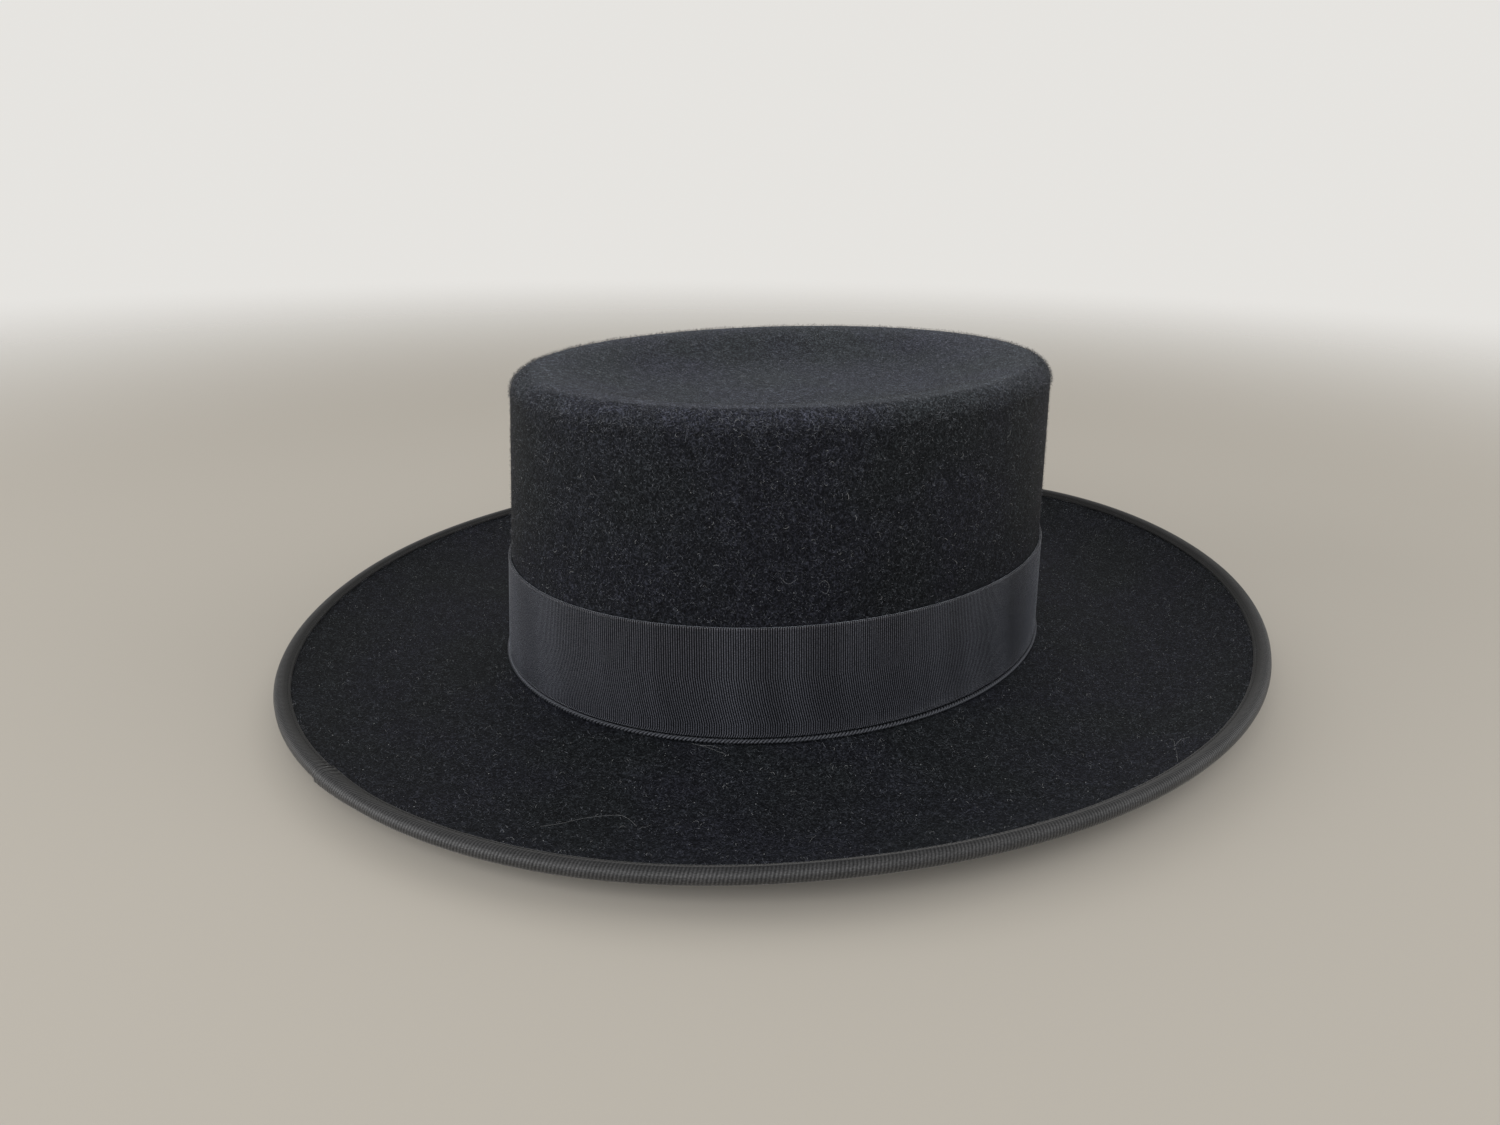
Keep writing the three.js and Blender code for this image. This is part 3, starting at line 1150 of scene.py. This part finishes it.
scatter, given = new_tree(
    "scatter_fibres",
    [
        ("Shapes", "Collection"),
        ("Last shape", "Int"),
        ("Density", "Float"),
        ("Shortest", "Float"),
        ("Longest", "Float"),
        ("Tilt", "Float"),
        ("Seed", "Int"),
        ("Material", "Material"),
    ],
)
position = add(scatter, "GeometryNodeInputPosition").outputs[0]
spread = {"Vector": position, "Scale": 1 / clump_size, "Detail": 2}
clumps = add(scatter, "ShaderNodeTexNoise", inputs=spread)
ends = {"From Min": 0.4, "From Max": 0.65, "To Min": 0.45, "To Max": 2}
thinned = add(scatter, "ShaderNodeMapRange", inputs={"Value": clumps.outputs["Fac"], **ends})
factors = {0: given["Density"], 1: thinned.outputs["Result"]}
density = add(scatter, "ShaderNodeMath", {"operation": "MULTIPLY"}, factors)
points = add(
    scatter,
    "GeometryNodeDistributePointsOnFaces",
    inputs={"Mesh": given["Geometry"], "Density": density.outputs[0], "Seed": given["Seed"]},
)
shapes = add(
    scatter,
    "GeometryNodeCollectionInfo",
    inputs={"Collection": given["Shapes"], "Separate Children": True, "Reset Children": True},
)
which_ends = {"Min": 0, "Max": given["Last shape"], "Seed": given["Seed"]}
which = add(scatter, "FunctionNodeRandomValue", {"data_type": "INT"}, which_ends)
roll_ends = {2: -1.0, 3: 1.0, "Seed": given["Seed"]}
roll = add(scatter, "FunctionNodeRandomValue", {"data_type": "FLOAT"}, roll_ends)
tilt = add(scatter, "ShaderNodeMath", {"operation": "MULTIPLY"}, {0: roll.outputs[1], 1: given["Tilt"]})
number = add(scatter, "GeometryNodeInputIndex").outputs[0]
heading_ends = {2: 0.0, 3: 2 * math.pi, "ID": number, "Seed": 7}
heading = add(scatter, "FunctionNodeRandomValue", {"data_type": "FLOAT"}, heading_ends)
local = add(
    scatter,
    "ShaderNodeCombineXYZ",
    inputs={"X": tilt.outputs[0], "Y": tilt.outputs[0], "Z": heading.outputs[1]},
)
turn = add(scatter, "FunctionNodeEulerToRotation", inputs={0: local.outputs[0]})
pose = add(
    scatter,
    "FunctionNodeRotateRotation",
    {"rotation_space": "LOCAL"},
    {"Rotation": points.outputs["Rotation"], "Rotate By": turn.outputs[0]},
)
length_ends = {2: given["Shortest"], 3: given["Longest"], "Seed": 11}
length = add(scatter, "FunctionNodeRandomValue", {"data_type": "FLOAT"}, length_ends)
size = add(scatter, "ShaderNodeCombineXYZ", inputs={"X": length.outputs[1], "Y": 1.0, "Z": 1.0})
laid = add(
    scatter,
    "GeometryNodeInstanceOnPoints",
    inputs={
        "Points": points.outputs["Points"],
        "Instance": shapes.outputs[0],
        "Pick Instance": True,
        "Instance Index": which.outputs[2],
        "Rotation": pose.outputs[0],
        "Scale": size.outputs[0],
    },
)
# A random number on each fibre, for its paler tone and its painted glint
shade_ends = {2: 0.0, 3: 1.0, "Seed": 23}
shade = add(scatter, "FunctionNodeRandomValue", {"data_type": "FLOAT"}, shade_ends)
toned = add(
    scatter,
    "GeometryNodeStoreNamedAttribute",
    {"data_type": "FLOAT", "domain": "INSTANCE"},
    {"Geometry": laid.outputs[0], "Name": "paleness", "Value": shade.outputs[1]},
)
finish_tree(scatter, toned.outputs[0], given["Material"])

# %% [markdown]
# ### Fibre material
#
# A dyed fur fibre is smooth, so a few of them glint grey while most stay dark. The tree above stores a
# random number on each fibre, and the material reads it: only the palest fibres get a much lighter
# base colour, partly paler fibres in the fur and partly a painted glint.

# %% Nap material
nap, tree = material("dyed_fur_fibre")
paleness = add(tree, "ShaderNodeAttribute", {"attribute_name": "paleness"}).outputs["Fac"]
curve = add(tree, "ShaderNodeMath", {"operation": "POWER"}, {0: paleness, 1: 4.5})
tone = add(
    tree,
    "ShaderNodeMix",
    {"data_type": "RGBA"},
    {"Factor": curve.outputs[0], 6: colour("#17191f"), 7: colour("#8d919a")},
)
shader = add(
    tree,
    "ShaderNodeBsdfPrincipled",
    inputs={"Base Color": tone.outputs[2], "Roughness": 0.6, "Specular IOR Level": 0.4},
)
finish_material(tree, shader)

# %% Lay the nap
def scattered(name, rings, shapes, density, shortest, longest, tilt, seed, cloth):
    """Shapes scattered over a stretch of the felt: density is in pieces for each square millimetre."""
    made = grow(
        skin(name + "_ground", rings),
        scatter,
        {
            "Shapes": shapes,
            "Last shape": len(shapes.objects) - 1,
            "Density": density / MM**2,
            "Shortest": shortest,
            "Longest": longest,
            "Tilt": tilt,
            "Seed": seed,
            "Material": cloth,
        },
        name,
    )
    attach(made, "root")
    print(name, "has", triangles(made), "triangles")
    return made


bare_wall = wall_rings(0, band_top + 0.5 * MM, shoulder_height, 12)
open_brim = [
    on_brim(felt_angles, 3 * MM + (binding_reach(felt_angles) - 3 * MM) * share, brim_felt / 2)
    for share in np.linspace(0, 1, 24)
]
fuzzy_edge = [
    on_brim(felt_angles, binding_reach(felt_angles) + way * MM, inner_off + max(way, 0) * MM)
    for way in (-0.8, 0, 0.4)
]
crown_foot = [on_brim(felt_angles, reach * MM, brim_felt / 2) for reach in (1.5, 3, 5, 8)]
brim_below = brim_rings(-brim_felt / 2, rest_width, 24)[::-1][3:]

# Where it lies, how many, how long at least and at most, how much it is tilted, and its seed
patches_of_nap = [
    ("nap_tip", tip_rings(0, 26), 2.6, 0.4, 1.3, 0.5, 3),
    ("nap_rim", rim_rings(0, 10), 7, 0.6, 2, 0.8, 4),
    ("nap_wall", bare_wall, 2.4, 0.3, 1.2, 0.5, 5),
    ("nap_brim", open_brim, 1.3, 0.4, 1.4, 0.4, 8),
    ("nap_at_binding", fuzzy_edge, 4, 0.5, 1.4, 0.6, 10),
    ("nap_at_cord", crown_foot, 0.5, 1.2, 2.6, 0.9, 12),
    ("nap_below", brim_below, 0.14, 0.5, 1.8, 0.4, 9),
]
for name, ground, many, shortest, longest, tilted, seed in patches_of_nap:
    scattered(name, ground, fibres, many, shortest, longest, tilted, seed, nap)

# %% [markdown]
# ### Lint
#
# A black hat shows every bit of lint. There are longer curly hairs and pale specks of dust, about
# two on each square centimetre. They are copied by the same tree from other shapes.

# %% Lint shapes
def curl(name, turn, length):
    """A curly hair: a narrow strip that bends round by a number of degrees over its length."""
    steps = 5
    bearing = np.radians(turn) * (np.arange(steps) / (steps - 1) - 0.5)
    line = np.cumsum(np.stack([np.cos(bearing), np.sin(bearing)], -1), 0) * length / steps
    line = np.concatenate([[(0, 0)], line])
    half = 0.5 * fibre_width
    points = [(x, y - half, 0.25 * MM * math.sin(i)) for i, (x, y) in enumerate(line)]
    points += [(x, y + half, 0.25 * MM * math.sin(i)) for i, (x, y) in enumerate(line)]
    count = len(line)
    return small_mesh(name, points, [(i, i + 1, i + 1 + count, i + count) for i in range(count - 1)])


lint_shapes = shape_box(
    "lint_shapes",
    [
        curl("lint_0", 60, 2 * MM),
        curl("lint_1", 150, 2.6 * MM),
        curl("lint_2", 230, 3.4 * MM),
        octahedron("lint_3", 0.12 * MM, 0.12 * MM, 0.12 * MM),
        octahedron("lint_4", 0.18 * MM, 0.18 * MM, 0.18 * MM),
    ],
)
lint, tree = material("pale_lint")
shader = add(tree, "ShaderNodeBsdfPrincipled", inputs={"Base Color": colour("#9a9c9e"), "Roughness": 0.7})
finish_material(tree, shader)

lint_on = 0.018
bare_crown = tip_rings(0, 26) + rim_rings(0, 10) + bare_wall[1:]
scattered("lint_on_crown", bare_crown, lint_shapes, lint_on, 0.5, 1.2, 0.3, 21, lint)
scattered("lint_on_brim", open_brim, lint_shapes, lint_on, 0.5, 1.2, 0.3, 22, lint)

# %% [markdown]
# The larger hairs are few enough to be placed one by one. Each is a short list of points on the felt,
# given by the angle, the distance from the crown (or the height on the wall) and how far off the felt.
# The first number says how many times thicker than the finest one it is, because some are bits of thread.

# %% Single hairs
brim_hairs = [
    (5, [(219.3, 2.6, 0.6), (221, 4, 1), (223, 5.4, 0.9), (225.3, 7, 0.3)]),
    (3, [(221, 4, 1), (223, 4.2, 1.2), (224.6, 5, 0.8)]),
    (4, [(273.6, 70.5, 0.1), (275.4, 68, 0.8), (277, 65.5, 1.2)]),
    (4, [(277, 65.5, 1.2), (278.5, 63.5, 1.4), (279.2, 61.5, 1)]),
    (4, [(277, 65.5, 1.2), (278.6, 65.5, 1.6), (279.4, 67, 1.4)]),
    (
        1,
        [
            (208.4, 56.5, 0.1),
            (209.8, 53, 0.2),
            (211.2, 48.75, 0.3),
            (212.9, 45.75, 0.4),
            (214.8, 43.75, 0.4),
            (216.1, 45.25, 0.3),
            (217.2, 48, 0.1),
        ],
    ),
    (1.5, [(217.5, 49.5, 0.1), (217.9, 48.9, 0.5), (218.2, 48.1, 0.3), (218.6, 46.7, 0.4)]),
    (1.5, [(234.3, 55.7, 0.1), (234.7, 54.2, 0.5), (235.2, 52.2, 0.3)]),
    (2, [(223.2, 37.7, 0.1), (223.4, 38.8, 0.6), (223.7, 39.5, 0.2)]),
]
wall_hairs = [
    (2.5, [(241.3, 50.2, 0.1), (242.2, 51.4, 0.6), (243, 50, 0.9), (242.6, 47.6, 0.8), (241.8, 48.2, 0.6)]),
    (2, [(234.6, 53, 0.1), (235.6, 51.2, 0.4), (236.6, 51.4, 0.5), (237.6, 52.6, 0.3)]),
]
hair_radius = 0.022 * MM


def smooth_line(points, steps):
    """Points along a smooth curve through a few given points."""
    points = np.array([points[0]] + points + [points[-1]])
    line = []
    for a, b, c, d in zip(points, points[1:], points[2:], points[3:]):
        for t in np.arange(steps) / steps:
            line.append(b + 0.5 * t * (c - a + t * (2 * a - 5 * b + 4 * c - d + t * (3 * (b - c) + d - a))))
    return np.array(line + [points[-1]])


hair_lines = []
for thickness, hair in brim_hairs:
    angle, reach, off = smooth_line(hair, 5).T
    hair_lines.append((on_brim(angle, reach * MM, brim_felt / 2 + off * MM), thickness))
for thickness, hair in wall_hairs:
    angle, height, off = smooth_line(hair, 5).T
    hair_lines.append((on_wall(angle, height * MM, off * MM), thickness))

hairs, given = new_tree("hairs_from_paths", [("Radius", "Float"), ("Material", "Material")])
section = add(
    hairs,
    "GeometryNodeCurvePrimitiveCircle",
    inputs={"Resolution": 4, "Radius": given["Radius"]},
)
body = add(
    hairs,
    "GeometryNodeCurveToMesh",
    inputs={"Curve": given["Geometry"], "Profile Curve": section.outputs[0]},
)
finish_tree(hairs, body.outputs[0], given["Material"])
hair_paths = curves("hair_paths", hair_lines, closed=False)
single_hairs = grow(hair_paths, hairs, {"Radius": hair_radius, "Material": lint}, "single_hairs")
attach(single_hairs, "root")
print("single hairs:", triangles(single_hairs), "triangles")

# %% [markdown]
# ## Floor, light and camera
#
# The hat stands on a plain pale floor under soft studio light. The camera stands where the
# photograph was taken from: 365 mm from the middle of the crown, 161 mm above the surface, looking
# down by 20.5 degrees. Directions for the lights are given as that camera sees them: to its right,
# away from it and up. The floor's card fades into the backdrop, as a studio's sweep does, and it is
# clear from below, so that the hollow can be looked into.

# %% Floor
card_reach = 0.38
fade_reach = 1.3
floor_reach = 6
floor_drop = 0.02 * MM

floor_card, tree = material("pale_matt_card")
card = add(
    tree,
    "ShaderNodeBsdfPrincipled",
    inputs={"Base Color": colour("#c8c2b8"), "Roughness": 0.7, "Specular IOR Level": 0.2},
)
clear = add(tree, "ShaderNodeBsdfTransparent")
place = add(tree, "ShaderNodeTexCoord").outputs["Object"]
away = add(tree, "ShaderNodeVectorMath", {"operation": "LENGTH"}, {0: place}).outputs["Value"]
faded = add(
    tree,
    "ShaderNodeMapRange",
    {"interpolation_type": "SMOOTHSTEP"},
    {"Value": away, "From Min": card_reach, "From Max": fade_reach},
).outputs["Result"]
behind = add(tree, "ShaderNodeNewGeometry").outputs["Backfacing"]
gone = add(tree, "ShaderNodeMath", {"operation": "MAXIMUM"}, {0: behind, 1: faded})
both = add(
    tree,
    "ShaderNodeMixShader",
    inputs={0: gone.outputs[0], 1: card.outputs[0], 2: clear.outputs[0]},
)
finish_material(tree, both)

floor_mesh = bpy.data.meshes.new("floor")
corners = [(x * floor_reach, y * floor_reach, -floor_drop) for x, y in ((-1, -1), (1, -1), (1, 1), (-1, 1))]
floor_mesh.from_pydata(corners, [], [range(4)])
floor_mesh.materials.append(floor_card)
floor = bpy.data.objects.new("floor", floor_mesh)
bpy.context.scene.collection.objects.link(floor)
floor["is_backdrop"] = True

# %% [markdown]
# A felt hat needs light from low down, because black felt swallows what falls on it from above. So
# most of the light comes from a large soft box above and behind the camera, with two weaker ones at
# the sides, the left one low. A faint one behind the hat skims over the tip. The pale backdrop is the
# world, which the camera sees brighter than it lights the hat. The lamp under the floor only helps
# views from below: light linking lets it reach nothing but the felt body.

# %% Light
scene = bpy.context.scene
scene.view_settings.view_transform = "Standard"
view_heading = math.radians(38)
ahead = Vector((math.sin(view_heading), math.cos(view_heading), 0))
right = Vector((math.cos(view_heading), -math.sin(view_heading), 0))
light_aim = Vector((0, 0, 50 * MM))
light_from_backdrop = 0.43
backdrop_as_seen = 0.82


def softbox(name, sideways, away, height, width, tall, watts):
    """A rectangular soft light that faces the hat, placed as the camera sees it."""
    lamp = bpy.data.lights.new(name, "AREA")
    lamp.shape = "RECTANGLE"
    lamp.size = width
    lamp.size_y = tall
    lamp.energy = watts
    made = bpy.data.objects.new(name, lamp)
    made.location = right * sideways + ahead * away + Vector((0, 0, height))
    made.rotation_euler = (light_aim - made.location).to_track_quat("-Z", "Y").to_euler()
    made.visible_camera = False
    scene.collection.objects.link(made)
    return made


softbox("front_light", -0.2, -1.6, 1.2, 1.8, 1.2, 15.5)
softbox("left_light", -1.35, -0.45, 0.45, 1.2, 0.8, 8.5)
softbox("right_light", 1.4, 0, 0.9, 1.2, 1.2, 6)
softbox("back_light", 0, 1.3, 1.2, 2, 1.2, 1)

below = softbox("light_for_views_from_below", 0, 0, -0.25, 0.3, 0.3, 1.2)
felt_only = bpy.data.collections.new("felt_only")
felt_only.objects.link(felt_body)
below.light_linking.receiver_collection = felt_only
below.light_linking.blocker_collection = felt_only

studio = bpy.data.worlds.new("studio")
studio.use_nodes = True
tree = studio.node_tree
tree.nodes.clear()
seen = add(tree, "ShaderNodeLightPath").outputs["Is Camera Ray"]
ends = {"To Min": light_from_backdrop, "To Max": backdrop_as_seen}
strength = add(tree, "ShaderNodeMapRange", inputs={"Value": seen, **ends})
glow = add(
    tree,
    "ShaderNodeBackground",
    inputs={"Color": colour("#fbf9f5"), "Strength": strength.outputs["Result"]},
)
add(tree, "ShaderNodeOutputWorld", inputs={"Surface": glow.outputs[0]})
scene.world = studio

# %% Camera
down = math.radians(20.54)
tilt_sideways = math.radians(0.83)
eye_height = 161.33 * MM
eye_distance = 364.8 * MM
eye_sideways = -12 * MM
picture_width = 1500
focal_length = 1065

look = ahead * math.cos(down) - Vector((0, 0, math.sin(down)))
up = right.cross(look)
picture_right = right * math.cos(tilt_sideways) + up * math.sin(tilt_sideways)
picture_up = up * math.cos(tilt_sideways) - right * math.sin(tilt_sideways)
eye = crown_middle - ahead * eye_distance + right * eye_sideways + Vector((0, 0, eye_height))

camera_data = bpy.data.cameras.new("camera")
camera_data.sensor_width = 36
camera_data.lens = focal_length / picture_width * camera_data.sensor_width
camera_data.clip_start = 10 * MM
camera = bpy.data.objects.new("camera", camera_data)
axes = Matrix((picture_right, picture_up, -look)).transposed()
camera.matrix_world = Matrix.Translation(eye) @ axes.to_4x4()
scene.collection.objects.link(camera)
scene.camera = camera
print("camera at", [round(x / MM, 1) for x in eye], "lens", round(camera_data.lens, 2))

# %% Write the boxes and finish
final_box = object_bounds()
grown = [[round(1000 * (b - a), 2) for a, b in zip(c, f)] for c, f in zip(cad_box, final_box)]
print("the looks reach past the solids by, in mm:", grown)
